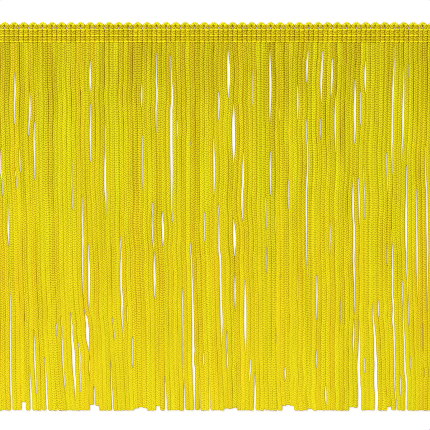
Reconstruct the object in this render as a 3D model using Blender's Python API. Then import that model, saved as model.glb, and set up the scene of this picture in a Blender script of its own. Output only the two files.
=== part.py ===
"""Chainette fringe trim, laid flat: a picot edge, a ribbed heading, three chain rows and a cut fringe.

Metres, +Z up. The heading runs along X, the picots point to +Y and the fringe to -Y. The back lies at
Z = 0, and the origin is under the middle of the whole piece.
"""

from collections import namedtuple
import math

import bmesh
import bpy
import numpy as np

MM = 0.001

# Driving sizes of the trim
DROP = 152.4 * MM
PITCH = 1.865 * MM
COLUMNS = 96
CLEARANCE = 0.3 * MM
TOLERANCE = 0.01 * MM

# Picot edge: one arch of cord for each pair of columns
PICOT_DEPTH = 2.3 * MM
PICOT_SCALLOP = 1.1 * MM
PICOT_CORD = 1.05 * MM
PICOT_THICK = 1.2 * MM
PICOT_SHOULDER = 1.15 * MM
PICOT_SHOULDER_FALL = 0.35
PICOT_CREST = 0.5
POINTS_PER_ARCH = 4

# Heading: the same cords pressed side by side under the chain rows
HEADING_BOTTOM = 8.2 * MM
HEADING_THICK = 1.35 * MM
HEADING_GROOVE = 0.8 * MM
HEADING_CREST = 0.85 * MM

# Chain rows: one stitch over each column
ChainRow = namedtuple("ChainRow", "name depth width height")
CHAIN_ROWS = [
    ChainRow("chain_row_top", 3.15 * MM, 0.8 * MM, 0.45 * MM),
    ChainRow("chain_row_middle", 5.35 * MM, 0.8 * MM, 0.5 * MM),
    ChainRow("chain_row_bottom", 7.7 * MM, 0.9 * MM, 0.5 * MM),
]
CHAIN_WAIST = 0.6

# Fringe: strands of chainette that leave a narrow strip of their own roots
STRIP_DEPTH = 1.0 * MM
STRIP_GROOVE = 0.75 * MM
STRAND_BASE = 1.3 * MM
STRAND_TOP = 0.8 * MM
STRAND_THICK = 1.45 * MM
STRAND_STEPS = 8
MIN_SPACING = 1.62 * MM
MAX_SPACING = 1.78 * MM
GATHER_DEPTH = 12.0 * MM

# How the strands lie: sideways shift of those that start at a place, at half their length and at their ends
Lean = namedtuple("Lean", "across middle end")
LEANS = [
    Lean(-90.0, 0.0, 0.4),
    Lean(-81.7, 0.8, 2.4),
    Lean(-58.1, 0.6, 4.0),
    Lean(-49.1, 1.2, 3.8),
    Lean(-38.6, 0.3, 2.4),
    Lean(-19.0, 1.2, 2.6),
    Lean(-11.1, 0.5, 2.2),
    Lean(0.6, 0.8, 2.6),
    Lean(10.4, 1.0, 1.6),
    Lean(33.9, -0.8, -1.0),
    Lean(52.7, -1.1, -1.0),
    Lean(59.4, 0.2, 1.0),
    Lean(68.4, -1.0, 0.8),
    Lean(72.7, -1.0, 1.0),
    Lean(81.7, 0.0, 0.4),
    Lean(90.0, 0.0, -0.4),
]

# Slits between strands, in millimetres: place across at their middle, where they start and end below the
# picot tips, and their widest opening. A slit that ends below the cut ends is still open there.
Slit = namedtuple("Slit", "across top bottom opening")
SLITS = [
    Slit(-79.3, 19, 42, 0.7),
    Slit(-75.0, 27, 46, 0.7),
    Slit(-72.6, 38, 64, 0.6),
    Slit(-50.1, 15, 29, 0.65),
    Slit(-49.3, 35, 57, 0.55),
    Slit(-45.0, 48, 72, 0.7),
    Slit(-53.2, 66, 112, 0.6),
    Slit(-78.7, 50, 61, 0.6),
    Slit(-29.7, 24, 35, 0.55),
    Slit(-24.1, 16, 46, 0.5),
    Slit(-18.5, 12, 82, 0.9),
    Slit(-2.1, 44, 70, 0.7),
    Slit(-0.7, 27, 40, 0.6),
    Slit(4.7, 11, 31, 1.1),
    Slit(6.9, 32, 57, 1.2),
    Slit(9.4, 49, 82, 0.7),
    Slit(20.0, 11, 42, 0.95),
    Slit(19.8, 50, 70, 0.6),
    Slit(30.8, 24, 40, 0.55),
    Slit(34.7, 11, 25, 0.55),
    Slit(34.3, 34, 106, 0.6),
    Slit(27.3, 60, 78, 0.55),
    Slit(40.6, 11, 33, 0.7),
    Slit(44.3, 14, 31, 0.7),
    Slit(45.9, 27, 53, 0.55),
    Slit(53.4, 22, 50, 0.85),
    Slit(52.5, 58, 119, 0.75),
    Slit(57.6, 15, 29, 0.7),
    Slit(68.6, 9, 63, 0.7),
    Slit(72.1, 16, 58, 0.7),
    Slit(73.7, 54, 109, 0.8),
    Slit(81.3, 44, 119, 0.65),
    Slit(77.6, 62, 112, 0.55),
    Slit(55.1, 60, 82, 0.6),
    Slit(-81.7, 92, 190, 0.8),
    Slit(-73.0, 133, 172, 0.7),
    Slit(-71.5, 119, 148, 0.6),
    Slit(-67.2, 129, 172, 0.7),
    Slit(-61.7, 113, 148, 0.55),
    Slit(-56.6, 113, 155, 1.1),
    Slit(-50.8, 87, 127, 1.1),
    Slit(-38.4, 81, 132, 0.7),
    Slit(-41.9, 127, 175, 0.7),
    Slit(-21.5, 74, 89, 0.85),
    Slit(-24.8, 91, 110, 0.8),
    Slit(-10.3, 80, 172, 0.95),
    Slit(-13.7, 138, 170, 0.7),
    Slit(-20.9, 137, 170, 0.7),
    Slit(0.8, 69, 131, 0.7),
    Slit(6.3, 77, 93, 1.1),
    Slit(6.3, 98, 117, 0.6),
    Slit(10.4, 100, 131, 1.0),
    Slit(14.7, 134, 172, 0.7),
    Slit(53.9, 105, 133, 0.6),
    Slit(56.3, 115, 185, 1.2),
    Slit(61.9, 108, 180, 1.25),
    Slit(68.2, 75, 172, 0.7),
    Slit(72.7, 97, 185, 0.8),
]
SLIT_REACH = 2.5
SLIT_POINT = 1.0

# Fine slits that are laid out by chance
FINE_SLITS = 70
FINE_SEED = 7
FINE_TOP = (10.0, 125.0)
FINE_LENGTH = (9.0, 28.0)
FINE_OPENING = (0.15, 0.42)

# Strands cut short: place across at the ends, width of the notch and how much is missing
Notch = namedtuple("Notch", "across spread missing")
NOTCHES = [
    Notch(-76.2, 1.9, 4.3),
    Notch(-48.2, 3.0, 2.5),
    Notch(-30.3, 5.0, 1.3),
    Notch(-23.9, 2.2, 1.8),
    Notch(4.5, 4.0, 1.2),
    Notch(27.7, 4.4, 2.1),
    Notch(35.3, 1.9, 1.2),
    Notch(52.9, 2.8, 1.6),
    Notch(66.1, 2.6, 2.2),
]
CUT_JITTER = 0.25 * MM

# Rounds in which strands that lie too close move apart and strands that lie too far apart gather
RELAX_PASSES = 600
APART_RATE = 0.5
GATHER_RATE = 0.25

# Finish of the rayon, linear colour
RAYON = (0.72, 0.60, 0.014, 1.0)
RAYON_SHADED = (0.58, 0.47, 0.010, 1.0)
RAYON_BRIGHT = (0.80, 0.68, 0.020, 1.0)
RAYON_ROUGHNESS = 0.45

TOP_Y = DROP / 2
BAND_TOP = PICOT_DEPTH + CLEARANCE
STRIP_TOP = HEADING_BOTTOM + CLEARANCE
ROOT_DEPTH = STRIP_TOP + STRIP_DEPTH
FREE_LENGTH = DROP - ROOT_DEPTH


def clear_scene():
    for old in list(bpy.data.objects):
        bpy.data.objects.remove(old, do_unlink=True)


def rayon(name, colour):
    """Knitted rayon: a soft, satin yellow."""
    material = bpy.data.materials.new(name)
    material.use_nodes = True
    shader = material.node_tree.nodes["Principled BSDF"]
    shader.inputs["Base Color"].default_value = colour
    shader.inputs["Roughness"].default_value = RAYON_ROUGHNESS
    shader.inputs["Metallic"].default_value = 0.0
    return material


def add_object(name, bm, location, material, parent):
    bmesh.ops.recalc_face_normals(bm, faces=bm.faces)
    mesh = bpy.data.meshes.new(name)
    bm.to_mesh(mesh)
    bm.free()
    mesh.materials.append(material)
    piece = bpy.data.objects.new(name, mesh)
    piece.location = location
    piece.parent = parent
    bpy.context.scene.collection.objects.link(piece)
    return piece


def column_centre(index):
    return (index - (COLUMNS - 1) / 2) * PITCH


def ribbed_cells(bm, crest_width, crest_height, groove_height):
    """One upright cell for each column: flat foot, flat crest and a groove at each side."""
    cells = []
    last_foot = bm.verts.new((-COLUMNS / 2 * PITCH, 0, 0))
    last_groove = bm.verts.new((-COLUMNS / 2 * PITCH, 0, groove_height))
    for index in range(COLUMNS):
        centre = column_centre(index)
        crest_left = bm.verts.new((centre - crest_width / 2, 0, crest_height))
        crest_right = bm.verts.new((centre + crest_width / 2, 0, crest_height))
        groove = bm.verts.new((centre + PITCH / 2, 0, groove_height))
        foot = bm.verts.new((centre + PITCH / 2, 0, 0))
        cells.append(bm.faces.new((last_foot, last_groove, crest_left, crest_right, groove, foot)))
        last_foot = foot
        last_groove = groove
    return cells


def extrude_block(bm, faces, vector):
    """Extrudes a flat patch of faces into a closed block and gives its new end faces."""
    grown = bmesh.ops.extrude_face_region(bm, geom=faces, use_keep_orig=True)["geom"]
    moved = [part for part in grown if isinstance(part, bmesh.types.BMVert)]
    bmesh.ops.translate(bm, verts=moved, vec=vector)
    return [part for part in grown if isinstance(part, bmesh.types.BMFace)]


def extrude_tip(bm, tip, vector):
    """Extrudes the end face of a bar one step further and gives the new end face."""
    tip = bmesh.ops.extrude_discrete_faces(bm, faces=[tip])["faces"][0]
    bmesh.ops.translate(bm, verts=tip.verts, vec=vector)
    return tip


def make_heading(material, parent):
    bm = bmesh.new()
    cells = ribbed_cells(bm, HEADING_CREST, HEADING_THICK, HEADING_GROOVE)
    depth = HEADING_BOTTOM - BAND_TOP
    extrude_block(bm, cells, (0, -depth, 0))
    add_object("heading", bm, (0, TOP_Y - BAND_TOP, 0), material, parent)


def sweep(bm, rings):
    """A closed bar through rings of corners that all have the same count."""
    root = bm.faces.new([bm.verts.new(corner) for corner in rings[0]])
    tip = extrude_block(bm, [root], (0, 0, 0))[0]
    for index, ring in enumerate(rings[1:]):
        if index:
            tip = extrude_tip(bm, tip, (0, 0, 0))
        for vert, corner in zip(tip.verts, ring):
            vert.co = corner


def picot_line():
    """Points of the cord's middle: a valley, a shoulder, a tip and a shoulder for each arch."""
    tip = -PICOT_CORD / 2
    valley = tip - PICOT_SCALLOP
    shoulder = tip - PICOT_SCALLOP * PICOT_SHOULDER_FALL
    line = []
    for arch in range(COLUMNS // 2):
        centre = (arch - (COLUMNS / 2 - 1) / 2) * 2 * PITCH
        line.append((centre - PITCH, valley))
        line.append((centre - PICOT_SHOULDER, shoulder))
        line.append((centre, tip))
        line.append((centre + PICOT_SHOULDER, shoulder))
    line.append((COLUMNS / 2 * PITCH, valley))
    return line


def make_picot_edge(material, parent):
    """A scalloped cord with a flat back: its section leans in from a wide foot to a narrow crest."""
    line = picot_line()
    foot = PICOT_CORD / 2
    crest = foot * PICOT_CREST
    rings = []
    for index, (x, y) in enumerate(line):
        before = line[max(index - 1, 0)]
        after = line[min(index + 1, len(line) - 1)]
        along = math.atan2(after[1] - before[1], after[0] - before[0])
        if index % POINTS_PER_ARCH == 0:
            along = 0.0
        nx = -math.sin(along)
        ny = math.cos(along)
        rings.append(
            [
                (x - nx * foot, y - ny * foot, 0),
                (x - nx * crest, y - ny * crest, PICOT_THICK),
                (x + nx * crest, y + ny * crest, PICOT_THICK),
                (x + nx * foot, y + ny * foot, 0),
            ]
        )
    bm = bmesh.new()
    sweep(bm, rings)
    add_object("picot_edge", bm, (0, TOP_Y, 0), material, parent)


def make_chain_row(row, material, parent):
    """A row of chain stitches: a low three-sided bar that swells at each stitch."""
    rings = []
    for half_step in range(2 * COLUMNS + 1):
        x = (half_step / 2 - COLUMNS / 2) * PITCH
        swell = 1.0 if half_step % 2 else CHAIN_WAIST
        rings.append(
            [
                (x, -row.width / 2 * swell, 0),
                (x, 0, row.height * swell),
                (x, row.width / 2 * swell, 0),
            ]
        )
    bm = bmesh.new()
    sweep(bm, rings)
    place = (0, TOP_Y - row.depth, HEADING_THICK + CLEARANCE)
    add_object(row.name, bm, place, material, parent)


def lean_at(across, share):
    """Sideways shift, in millimetres, at a share of the free length: nothing at the root."""
    places = [lean.across for lean in LEANS]
    middle = np.interp(across, places, [lean.middle for lean in LEANS])
    end = np.interp(across, places, [lean.end for lean in LEANS])
    return middle * 4 * share * (1 - share) + end * share * (2 * share - 1)


def fine_slits():
    chance = np.random.default_rng(FINE_SEED)
    half = COLUMNS / 2 * PITCH / MM
    found = []
    for _ in range(FINE_SLITS):
        across = chance.uniform(-half, half)
        top = chance.uniform(*FINE_TOP)
        length = chance.uniform(*FINE_LENGTH)
        found.append(Slit(across, top, top + length, chance.uniform(*FINE_OPENING)))
    return found


def gap_of(slit):
    """Number of the gap between two strands that a slit opens, found from its place back at the root."""
    middle = (min(slit.bottom, DROP / MM) + slit.top) / 2
    share = (middle * MM - ROOT_DEPTH) / FREE_LENGTH
    at_root = slit.across - lean_at(slit.across, share)
    return int(np.clip(round(at_root * MM / PITCH) + COLUMNS // 2 - 1, 0, COLUMNS - 2))


def open_width(slit, depths):
    """Opening in metres at each depth, from nothing at a slit's tips to its widest at the middle."""
    along = np.clip((depths / MM - slit.top) / (slit.bottom - slit.top), 0, 1)
    return slit.opening * MM * np.sin(math.pi * along) ** SLIT_POINT


def strand_places(depths):
    """Centres across of all strands, in metres: a row for each depth below the picot tips."""
    depths = np.atleast_1d(depths)
    root = np.array([column_centre(index) for index in range(COLUMNS)])
    share = np.maximum(depths - ROOT_DEPTH, 0.0) / FREE_LENGTH
    places = root + lean_at(root / MM, share[:, None]) * MM
    widest = np.full((len(depths), COLUMNS - 1), MAX_SPACING)
    for slit in SLITS + fine_slits():
        gap = gap_of(slit)
        opening = open_width(slit, depths)
        apart = np.arange(COLUMNS) - gap - 0.5
        push = np.sign(apart) * np.exp(-(np.abs(apart) - 0.5) / SLIT_REACH) / 2
        places += opening[:, None] * push
        widest[:, gap] += opening
    widest += (PITCH - MAX_SPACING) * np.exp(-share[:, None] * FREE_LENGTH / GATHER_DEPTH)
    limit = abs(column_centre(0))
    for _ in range(RELAX_PASSES):
        spacing = np.diff(places, axis=1)
        move = APART_RATE * np.maximum(MIN_SPACING - spacing, 0)
        move -= GATHER_RATE * np.maximum(spacing - widest, 0)
        places[:, :-1] -= move
        places[:, 1:] += move
        places = np.clip(places, -limit, limit)
    return places


def strand_ends():
    """Depth of each strand's cut end."""
    chance = np.random.default_rng(FINE_SEED + 1)
    ends = DROP - chance.uniform(0, 1, COLUMNS) * CUT_JITTER
    places = strand_places(DROP)[0] / MM
    for notch in NOTCHES:
        within = np.abs(places - notch.across) < notch.spread / 2
        ends[within] -= notch.missing * MM
    ends[0] = ends[-1] = DROP
    return ends


def shortest_edge(face):
    return min(edge.calc_length() for edge in face.edges)


def make_fringe(material, parent):
    """Strands that rest flat at the same level, extruded step by step from their root strip."""
    bm = bmesh.new()
    roots = []
    webs = []
    foot_before = bm.verts.new((-COLUMNS / 2 * PITCH, 0, 0))
    top_before = bm.verts.new((-COLUMNS / 2 * PITCH, 0, STRIP_GROOVE))
    for index in range(COLUMNS):
        centre = column_centre(index)
        foot_left = bm.verts.new((centre - STRAND_BASE / 2, 0, 0))
        top_left = bm.verts.new((centre - STRAND_TOP / 2, 0, STRAND_THICK))
        top_right = bm.verts.new((centre + STRAND_TOP / 2, 0, STRAND_THICK))
        foot_right = bm.verts.new((centre + STRAND_BASE / 2, 0, 0))
        webs.append(bm.faces.new((foot_before, top_before, top_left, foot_left)))
        roots.append(bm.faces.new((foot_left, top_left, top_right, foot_right)))
        foot_before = bm.verts.new((centre + PITCH / 2, 0, 0))
        top_before = bm.verts.new((centre + PITCH / 2, 0, STRIP_GROOVE))
        webs.append(bm.faces.new((foot_right, top_right, top_before, foot_before)))
    grown = extrude_block(bm, webs + roots, (0, -STRIP_DEPTH, 0))
    shares = np.linspace(0, 1, STRAND_STEPS + 1)
    places = strand_places(ROOT_DEPTH + shares * FREE_LENGTH)
    lengths = strand_ends() - ROOT_DEPTH
    tips = [face for face in grown if shortest_edge(face) > STRAND_TOP - TOLERANCE]
    tips.sort(key=lambda face: face.calc_center_median().x)
    for step in range(STRAND_STEPS):
        sideways = places[step + 1] - places[step]
        for index, tip in enumerate(tips):
            down = (shares[step + 1] - shares[step]) * lengths[index]
            tips[index] = extrude_tip(bm, tip, (sideways[index], -down, 0))
    add_object("fringe", bm, (0, TOP_Y - STRIP_TOP, 0), material, parent)


def main():
    clear_scene()
    trim = bpy.data.objects.new("chainette_fringe_trim", None)
    bpy.context.scene.collection.objects.link(trim)
    make_picot_edge(rayon("picot_cord", RAYON_BRIGHT), trim)
    make_heading(rayon("heading_cords", RAYON_SHADED), trim)
    for row in CHAIN_ROWS:
        make_chain_row(row, rayon(row.name + "_yarn", RAYON_BRIGHT), trim)
    make_fringe(rayon("fringe_chainette", RAYON), trim)


main()
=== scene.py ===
"""Chainette fringe trim: the knitted strands, the heading and its chain stitches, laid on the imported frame.

Metres, +Z up. The trim lies on its back at Z = 0, with its picots towards +Y and the cut ends of its fringe
towards -Y.
"""

from collections import namedtuple
import math

import bmesh
import bpy
from bpy.props import FloatProperty, FloatVectorProperty, IntProperty, PointerProperty
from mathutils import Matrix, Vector
import numpy as np


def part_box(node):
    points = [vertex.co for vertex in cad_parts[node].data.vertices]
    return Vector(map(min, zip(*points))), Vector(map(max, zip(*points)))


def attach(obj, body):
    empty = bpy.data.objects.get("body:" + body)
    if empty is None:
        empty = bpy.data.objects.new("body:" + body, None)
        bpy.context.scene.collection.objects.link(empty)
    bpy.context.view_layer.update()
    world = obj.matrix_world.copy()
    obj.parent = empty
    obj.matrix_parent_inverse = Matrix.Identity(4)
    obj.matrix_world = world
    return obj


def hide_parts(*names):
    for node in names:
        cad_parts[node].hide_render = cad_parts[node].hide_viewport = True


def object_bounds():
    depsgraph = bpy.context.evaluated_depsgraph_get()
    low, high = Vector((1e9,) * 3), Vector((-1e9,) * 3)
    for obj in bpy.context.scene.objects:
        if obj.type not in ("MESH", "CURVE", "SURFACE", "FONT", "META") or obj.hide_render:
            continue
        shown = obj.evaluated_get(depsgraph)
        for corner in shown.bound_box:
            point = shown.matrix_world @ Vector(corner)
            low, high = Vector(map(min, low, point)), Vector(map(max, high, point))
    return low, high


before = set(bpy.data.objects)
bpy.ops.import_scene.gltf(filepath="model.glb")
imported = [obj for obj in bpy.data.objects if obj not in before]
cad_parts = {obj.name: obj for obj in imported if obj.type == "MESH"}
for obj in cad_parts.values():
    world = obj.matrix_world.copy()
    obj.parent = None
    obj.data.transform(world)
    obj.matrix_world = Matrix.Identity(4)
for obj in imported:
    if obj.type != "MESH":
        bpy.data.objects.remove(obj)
CAD_LOW, CAD_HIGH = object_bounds()

bl_info = {
    "name": "Chainette Fringe Trim",
    "version": (1, 0, 0),
    "blender": (4, 5, 0),
    "location": "View3D > Sidebar > Fringe",
    "description": "Lays a length of knitted fringe trim on a pale floor, piece by piece",
    "category": "Object",
}

MM = 0.001
BODY = "root"

# Places that the frame gives. The strands are free below the strip of their roots.
PICOT_TIP = CAD_HIGH.y
DROP = CAD_HIGH.y - CAD_LOW.y
HEADING_LOW, HEADING_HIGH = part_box("heading")
STRIP_DEPTH = 1.0 * MM
ROOT_DEPTH = PICOT_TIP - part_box("fringe")[1].y + STRIP_DEPTH
FREE_LENGTH = DROP - ROOT_DEPTH
COLUMNS = 96
PITCH = (HEADING_HIGH.x - HEADING_LOW.x) / COLUMNS
ROW_NODES = ("chain_row_top", "chain_row_middle", "chain_row_bottom")
ROW_DEPTHS = [PICOT_TIP - (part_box(node)[0].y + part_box(node)[1].y) / 2 for node in ROW_NODES]

# Distance between neighbouring strands that touch, at least and at most. From the heading down to about
# GATHER_DEPTH they still spread to the pitch.
MIN_SPACING = 1.62 * MM
MAX_SPACING = 1.78 * MM
GATHER_DEPTH = 12.0 * MM

# How the strands lie, in millimetres: sideways shift of the strands that start at a place, at half their
# length and at their ends
Lean = namedtuple("Lean", "across middle end")
LEANS = [
    Lean(-90.0, 0.0, 0.4),
    Lean(-81.7, 0.8, 2.4),
    Lean(-58.1, 0.6, 4.0),
    Lean(-49.1, 1.2, 3.8),
    Lean(-38.6, 0.3, 2.4),
    Lean(-19.0, 1.2, 2.6),
    Lean(-11.1, 0.5, 2.2),
    Lean(0.6, 0.8, 2.6),
    Lean(10.4, 1.0, 1.6),
    Lean(33.9, -0.8, -1.0),
    Lean(52.7, -1.1, -1.0),
    Lean(59.4, 0.2, 1.0),
    Lean(68.4, -1.0, 0.8),
    Lean(72.7, -1.0, 1.0),
    Lean(81.7, 0.0, 0.4),
    Lean(90.0, 0.0, -0.4),
]

# Slits between strands, in millimetres, read off the photograph: place across at their middle, where they
# start and end below the picot tips, and their widest opening. A slit that ends below the cut ends is still
# open there.
Slit = namedtuple("Slit", "across top bottom opening")
SLITS = [
    Slit(-79.3, 19, 42, 0.7),
    Slit(-75.0, 27, 46, 0.7),
    Slit(-72.6, 38, 64, 0.6),
    Slit(-50.1, 15, 29, 0.65),
    Slit(-49.3, 35, 57, 0.55),
    Slit(-45.0, 48, 72, 0.7),
    Slit(-53.2, 66, 112, 0.6),
    Slit(-78.7, 50, 61, 0.6),
    Slit(-29.7, 24, 35, 0.55),
    Slit(-24.1, 16, 46, 0.5),
    Slit(-18.5, 12, 82, 0.9),
    Slit(-2.1, 44, 70, 0.7),
    Slit(-0.7, 27, 40, 0.6),
    Slit(4.7, 11, 31, 1.1),
    Slit(6.9, 32, 57, 1.2),
    Slit(9.4, 49, 82, 0.7),
    Slit(20.0, 11, 42, 0.95),
    Slit(19.8, 50, 70, 0.6),
    Slit(30.8, 24, 40, 0.55),
    Slit(34.7, 11, 25, 0.55),
    Slit(34.3, 34, 106, 0.6),
    Slit(27.3, 60, 78, 0.55),
    Slit(40.6, 11, 33, 0.7),
    Slit(44.3, 14, 31, 0.7),
    Slit(45.9, 27, 53, 0.55),
    Slit(53.4, 22, 50, 0.85),
    Slit(52.5, 58, 119, 0.75),
    Slit(57.6, 15, 29, 0.7),
    Slit(68.6, 9, 63, 0.7),
    Slit(72.1, 16, 58, 0.7),
    Slit(73.7, 54, 109, 0.8),
    Slit(81.3, 44, 119, 0.65),
    Slit(77.6, 62, 112, 0.55),
    Slit(55.1, 60, 82, 0.6),
    Slit(-81.7, 92, 190, 0.6),
    Slit(-73.0, 133, 172, 0.7),
    Slit(-71.5, 119, 148, 0.6),
    Slit(-67.2, 129, 172, 0.7),
    Slit(-61.7, 113, 148, 0.55),
    Slit(-68.8, 147, 175, 0.4),
    Slit(-64.3, 147, 175, 0.45),
    Slit(-56.6, 113, 150, 1.1),
    Slit(-54.6, 125, 147, 0.55),
    Slit(-50.4, 87, 117, 0.9),
    Slit(-51.4, 116, 129, 1.2),
    Slit(-50.6, 132, 142, 0.4),
    Slit(-48.2, 143, 155, 0.6),
    Slit(-38.4, 81, 132, 0.7),
    Slit(-41.9, 127, 175, 0.7),
    Slit(-21.5, 74, 89, 0.85),
    Slit(-24.8, 91, 110, 0.8),
    Slit(-10.3, 80, 172, 0.95),
    Slit(-12.9, 96, 143, 0.5),
    Slit(-13.7, 138, 170, 0.7),
    Slit(-7.9, 134, 175, 0.35),
    Slit(-4.2, 136, 175, 0.45),
    Slit(-6.4, 129, 136, 0.45),
    Slit(-20.9, 137, 170, 0.7),
    Slit(0.8, 69, 131, 0.7),
    Slit(6.3, 77, 93, 1.1),
    Slit(6.3, 98, 117, 0.6),
    Slit(10.4, 100, 131, 1.0),
    Slit(3.9, 130, 138, 0.5),
    Slit(12.2, 131, 144, 0.6),
    Slit(14.7, 134, 172, 0.9),
    Slit(18.3, 146, 175, 0.5),
    Slit(23.0, 146, 175, 0.5),
    Slit(26.2, 136, 144, 0.7),
    Slit(37.9, 98, 119, 0.55),
    Slit(37.9, 128, 137, 0.4),
    Slit(41.5, 142, 151, 0.6),
    Slit(53.9, 117, 133, 0.6),
    Slit(56.3, 115, 185, 1.2),
    Slit(62.3, 108, 180, 1.25),
    Slit(59.4, 131, 139, 0.4),
    Slit(68.2, 75, 172, 0.75),
    Slit(70.9, 136, 149, 0.6),
    Slit(72.7, 97, 185, 0.8),
    Slit(74.2, 126, 141, 0.35),
    Slit(79.9, 134, 141, 0.4),
    Slit(64.1, 108, 117, 0.4),
]

# A slit pushes this many strands aside, and pulls this many over so that it lies at its own place. The
# pull fades out over a length above and below the slit.
SLIT_REACH = 2.5
PULL_REACH = 3.0
PULL_FADE = 25.0 * MM

# Fine slits that are laid out by chance, in millimetres: between which depths they start, how long and
# how wide they are
FINE_SLITS = 52
FINE_SEED = 7
FINE_TOP = (10.0, 125.0)
FINE_LENGTH = (9.0, 28.0)
FINE_OPENING = (0.15, 0.42)

# Strands cut short, in millimetres: place across at the ends, width of the notch and how much is missing.
# Each strand in a notch lacks its own share of that, and the other ends differ by the jitter of the cut.
Notch = namedtuple("Notch", "across spread missing")
NOTCHES = [
    Notch(-76.2, 1.9, 4.3),
    Notch(-48.2, 3.0, 2.5),
    Notch(-30.3, 5.0, 1.3),
    Notch(-23.9, 2.2, 1.8),
    Notch(4.5, 4.0, 1.2),
    Notch(27.7, 4.4, 2.1),
    Notch(35.3, 1.9, 1.2),
    Notch(52.9, 2.8, 1.6),
    Notch(66.6, 2.8, 2.1),
]
NOTCH_SHARE = (0.55, 1.05)
CUT_JITTER = 0.25 * MM

# Rounds in which strands that lie too close move apart, and strands that lie too far from each other
# gather
RELAX_PASSES = 600
APART_RATE = 0.5
GATHER_RATE = 0.25

# Knitted tube: six columns of stitches, called wales, each with a middle and a furrow beside it, and two
# rings of points to a stitch. Stitches slant, one wale to the left and the next to the right, as in a
# plait. In some cords every second wale is half a stitch behind.
WALES = 6
TUBE_SIDES = 2 * WALES
RINGS_PER_STITCH = 2
SLANT = 0.5
FURROW = -0.4
STAGGERED_SHARE = 0.65
PATTERN_RINGS = 16
CAP_INSET = 0.4
FLOOR_GAP = 0.01 * MM
STRAND_GROUPS = ("fringe_far_left", "fringe_left", "fringe_right", "fringe_far_right")
KNIT_SEED = 21

# The photograph, in its own pixels: the frame's side, the picot tips, the cut ends and the middle of the
# part
PHOTO_SIDE_PX = 430
PHOTO_TIP_PX = 21.75
PHOTO_CUT_PX = 410.7
PHOTO_MIDDLE_PX = 218.4


def linear(hex_colour):
    """Linear RGBA of an sRGB hex colour."""
    parts = [int(hex_colour[at : at + 2], 16) / 255 for at in (0, 2, 4)]
    curved = [part / 12.92 if part <= 0.04045 else ((part + 0.055) / 1.055) ** 2.4 for part in parts]
    return (*curved, 1.0)


def ease(value, low, high):
    """0 up to low, 1 from high on, and a smooth rise between them."""
    share = np.clip((value - low) / (high - low), 0, 1)
    return share * share * (3 - 2 * share)


def slow_noise(chance, count, knots):
    """A smooth run of small chance values from -1 to 1."""
    values = chance.uniform(-1, 1, knots)
    places = np.linspace(0, knots - 1, count)
    low = np.clip(places.astype(int), 0, knots - 2)
    rise = ease(places - low, 0, 1)
    return values[low] * (1 - rise) + values[low + 1] * rise


class FringeSizes(bpy.types.PropertyGroup):
    """Sizes and colours of the trim that can be changed before its pieces are made."""

    strand_width: FloatProperty(
        name="Strand width",
        description="Width of one knitted strand that lies free",
        default=1.8 * MM,
        unit="LENGTH",
    )
    strand_thick: FloatProperty(
        name="Strand thickness",
        description="Height of one knitted strand as it lies on the floor",
        default=1.5 * MM,
        unit="LENGTH",
    )
    stitch: FloatProperty(
        name="Stitch length",
        description="Length of one knitted stitch along a strand",
        default=0.94 * MM,
        unit="LENGTH",
    )
    relief: FloatProperty(
        name="Stitch relief",
        description="How far a stitch stands out of its strand",
        default=0.07 * MM,
        unit="LENGTH",
    )
    picot_width: FloatProperty(
        name="Picot cord width",
        description="Width of the cord where it turns over at the top edge",
        default=1.16 * MM,
        unit="LENGTH",
    )
    chain_yarn: FloatProperty(
        name="Chain yarn thickness",
        description="Thickness of the yarn of the chain stitches",
        default=0.5 * MM,
        unit="LENGTH",
    )
    chain_width: FloatProperty(
        name="Chain stitch width",
        description="Distance between the two legs of a chain stitch",
        default=0.33 * MM,
        unit="LENGTH",
    )
    bright: FloatVectorProperty(
        name="Rayon, bright",
        description="Colour of the crests of the stitches",
        subtype="COLOR",
        default=linear("efe606")[:3],
        min=0.0,
        max=1.0,
    )
    # The deep colour is painted shade: the amber of the shade in the hollows between the stitches
    deep: FloatVectorProperty(
        name="Rayon, deep",
        description="Colour in the hollows between the stitches",
        subtype="COLOR",
        default=linear("a88600")[:3],
        min=0.0,
        max=1.0,
    )
    light: FloatProperty(
        name="Light",
        description="Share of the lamps' full power",
        default=1.0,
        min=0.0,
    )
    floor_glow: FloatProperty(
        name="Floor glow",
        description="Light that the pale floor gives off, like a light table",
        default=0.55,
    )
    seed: IntProperty(
        name="Seed",
        description="Seed of the small differences between strands",
        default=KNIT_SEED,
    )


def column_centre(index):
    return (index - (COLUMNS - 1) / 2) * PITCH


def lean_at(across, share):
    """Sideways shift, in millimetres, at a share of the free length: nothing at the root."""
    places = [lean.across for lean in LEANS]
    middle = np.interp(across, places, [lean.middle for lean in LEANS])
    end = np.interp(across, places, [lean.end for lean in LEANS])
    return middle * 4 * share * (1 - share) + end * share * (2 * share - 1)


def fine_slits():
    chance = np.random.default_rng(FINE_SEED)
    half = COLUMNS / 2 * PITCH / MM
    found = []
    for _ in range(FINE_SLITS):
        across = chance.uniform(-half, half)
        top = chance.uniform(*FINE_TOP)
        length = chance.uniform(*FINE_LENGTH)
        found.append(Slit(across, top, top + length, chance.uniform(*FINE_OPENING)))
    return found


def gap_of(slit):
    """Number of the gap between two strands that a slit opens, found from its place back at the root."""
    middle = (min(slit.bottom, DROP / MM) + slit.top) / 2
    share = (middle * MM - ROOT_DEPTH) / FREE_LENGTH
    at_root = slit.across - lean_at(slit.across, share)
    return int(np.clip(round(at_root * MM / PITCH) + COLUMNS // 2 - 1, 0, COLUMNS - 2))


def pull_of(slit, gap):
    """How far, in metres, the strands beside a slit move off their lean to bring it to its own place."""
    middle = (min(slit.bottom, DROP / MM) + slit.top) / 2
    share = (middle * MM - ROOT_DEPTH) / FREE_LENGTH
    at_root = column_centre(gap) + PITCH / 2
    return (slit.across - lean_at(at_root / MM, share)) * MM - at_root


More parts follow.
